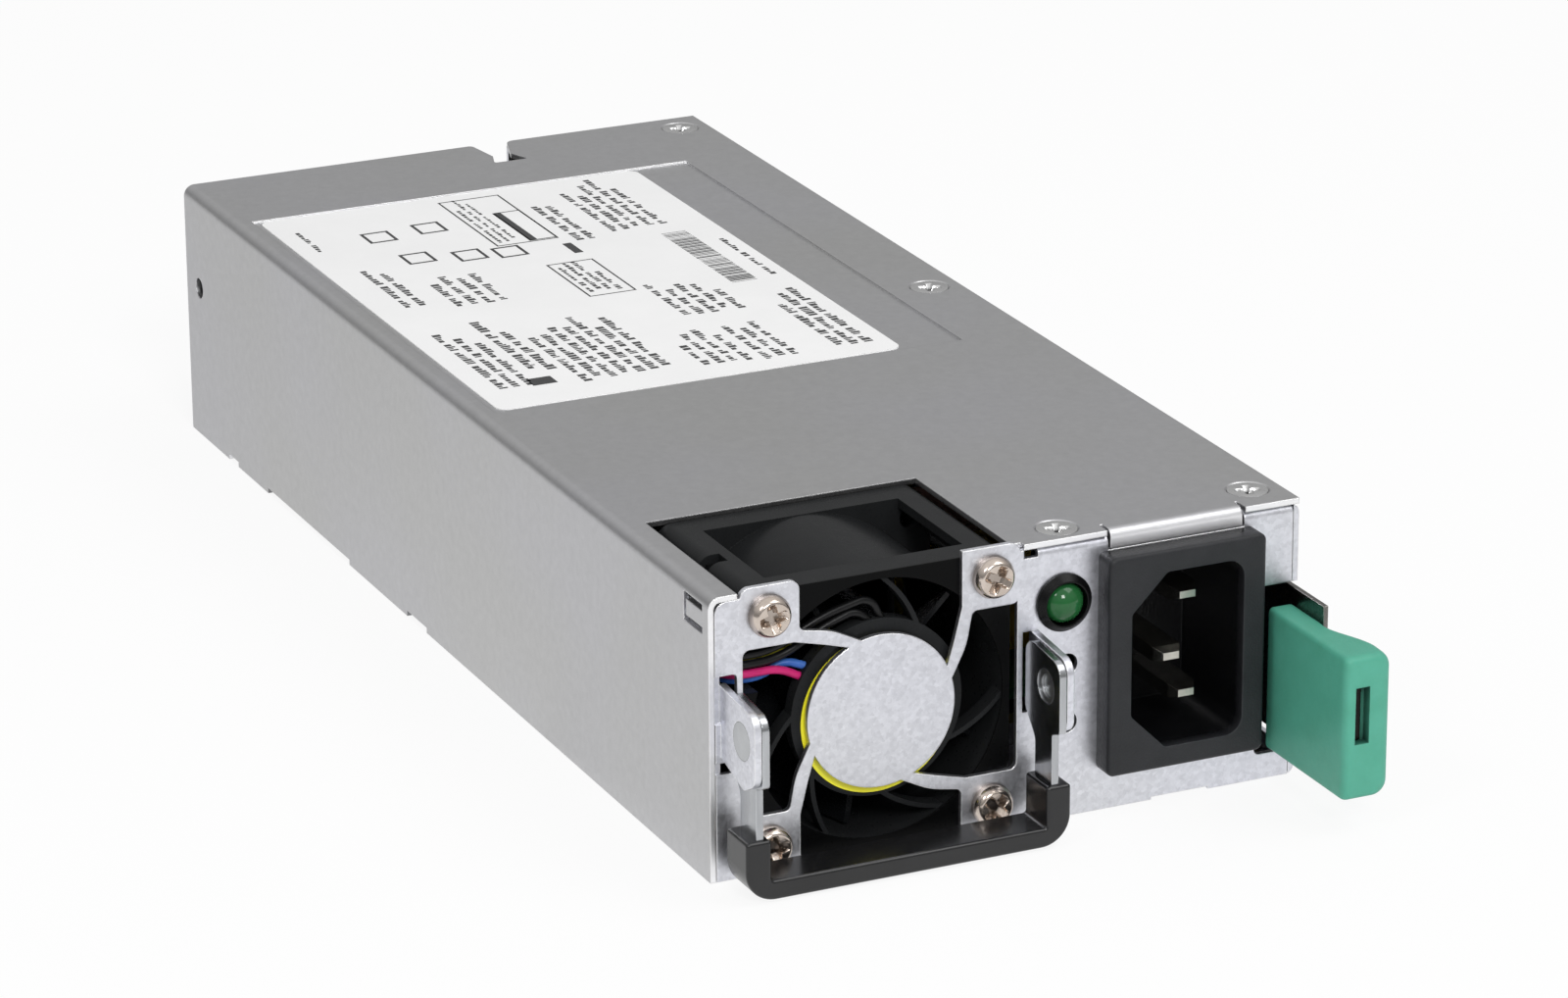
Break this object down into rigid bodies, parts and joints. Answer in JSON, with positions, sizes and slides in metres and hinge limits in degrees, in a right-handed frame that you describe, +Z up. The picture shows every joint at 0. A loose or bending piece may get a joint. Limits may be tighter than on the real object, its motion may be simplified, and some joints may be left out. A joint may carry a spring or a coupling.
{
  "type": "hot swap server power supply",
  "caption": "Slim sheet-metal server power supply with a front fan behind a finger guard, a mains inlet, a fold-up bail handle, a side spring latch and a rear card edge.",
  "frame": {"origin": "middle of the underside of the case", "axes": "+X to the right and +Y away for someone who faces the end with the fan and the inlet, +Z up"},
  "size_m": [0.0881, 0.2272, 0.0399],
  "materials": {
    "base_tray": "satin",
    "board_screws": "satin",
    "board_standoffs": "satin",
    "bridge_rectifier": "satin",
    "bulk_capacitor": "satin",
    "control_board": "satin",
    "control_chips": "satin",
    "cover_screws": "satin",
    "earth_lead": "satin",
    "earth_terminal": "satin",
    "edge_contacts": "satin",
    "emi_choke_core": "matte",
    "emi_choke_winding": "satin",
    "fan_bearings": "satin",
    "fan_circuit_board": "satin",
    "fan_frame": "satin",
    "fan_label": "satin",
    "fan_lead_black": "satin",
    "fan_lead_blue": "satin",
    "fan_lead_red": "satin",
    "fan_lead_yellow": "satin",
    "fan_plug": "satin",
    "fan_rotor": "satin",
    "fan_screws": "satin",
    "front_panel": "satin",
    "fuse_clips": "satin",
    "handle_bail": "satin",
    "handle_grip": "satin",
    "handle_rivets": "satin",
    "inlet_body": "satin",
    "inlet_pins": "satin",
    "inrush_relay": "satin",
    "insulator_sheet": "satin",
    "latch_rivets": "satin",
    "latch_spring": "satin",
    "latch_tab": "satin",
    "led_bezel": "satin",
    "led_leads": "satin",
    "led_plug": "satin",
    "line_lead": "satin",
    "main_board": "satin",
    "mains_fuse": "gloss",
    "neutral_lead": "satin",
    "output_busbars": "satin",
    "output_capacitors": "satin",
    "output_inductor": "matte",
    "pfc_choke_core": "matte",
    "pfc_choke_winding": "satin",
    "power_transistors": "satin",
    "primary_heatsink": "satin",
    "rating_label": "satin",
    "rotor_magnet": "matte",
    "rotor_shaft": "satin",
    "stator_coils": "satin",
    "stator_core": "satin",
    "status_led": "gloss",
    "top_cover": "satin",
    "transformer_core": "matte",
    "transformer_winding": "satin",
    "x_capacitors": "satin"
  },
  "bodies": {
    "case": {"base_tray": "base_tray", "board_screws": "board_screws", "board_standoffs": "board_standoffs", "bridge_rectifier": "bridge_rectifier", "bulk_capacitor": "bulk_capacitor", "control_board": "control_board", "control_chips": "control_chips", "cover_screws": "cover_screws", "earth_lead": "earth_lead", "earth_terminal": "earth_terminal", "edge_contacts": "edge_contacts", "emi_choke_core": "emi_choke_core", "emi_choke_winding": "emi_choke_winding", "fan_bearings": "fan_bearings", "fan_circuit_board": "fan_circuit_board", "fan_frame": "fan_frame", "fan_label": "fan_label", "fan_lead_black": "fan_lead_black", "fan_lead_blue": "fan_lead_blue", "fan_lead_red": "fan_lead_red", "fan_lead_yellow": "fan_lead_yellow", "fan_plug": "fan_plug", "fan_screws": "fan_screws", "front_panel": "front_panel", "fuse_clips": "fuse_clips", "handle_rivets": "handle_rivets", "inlet_body": "inlet_body", "inlet_pins": "inlet_pins", "inrush_relay": "inrush_relay", "insulator_sheet": "insulator_sheet", "latch_rivets": "latch_rivets", "led_bezel": "led_bezel", "led_leads": "led_leads", "led_plug": "led_plug", "line_lead": "line_lead", "main_board": "main_board", "mains_fuse": "mains_fuse", "neutral_lead": "neutral_lead", "output_busbars": "output_busbars", "output_capacitors": "output_capacitors", "output_inductor": "output_inductor", "pfc_choke_core": "pfc_choke_core", "pfc_choke_winding": "pfc_choke_winding", "power_transistors": "power_transistors", "primary_heatsink": "primary_heatsink", "rating_label": "rating_label", "stator_coils": "stator_coils", "stator_core": "stator_core", "status_led": "status_led", "top_cover": "top_cover", "transformer_core": "transformer_core", "transformer_winding": "transformer_winding", "x_capacitors": "x_capacitors"},
    "fan_rotor": {"fan_rotor": "fan_rotor", "rotor_magnet": "rotor_magnet", "rotor_shaft": "rotor_shaft"},
    "handle": {"handle_bail": "handle_bail", "handle_grip": "handle_grip"},
    "latch": {"latch_spring": "latch_spring", "latch_tab": "latch_tab"}
  },
  "joints": [
    {"name": "fan_spin", "type": "hinge", "parent": "case", "child": "fan_rotor", "pos_m": [-0.0185, -0.0835, 0.0198], "axis": [0, 1, 0], "continuous": true},
    {"name": "handle_swing", "type": "hinge", "parent": "case", "child": "handle", "pos_m": [-0.0185, -0.10455, 0.0219], "axis": [-1, 0, 0], "range_deg": [0, 90]},
    {"name": "latch_press", "type": "hinge", "parent": "case", "child": "latch", "pos_m": [0.04155, -0.03225, 0.0155], "axis": [0, 0, -1], "range_deg": [0, 1.3], "stiffness_Nm_per_rad": 20}
  ]
}
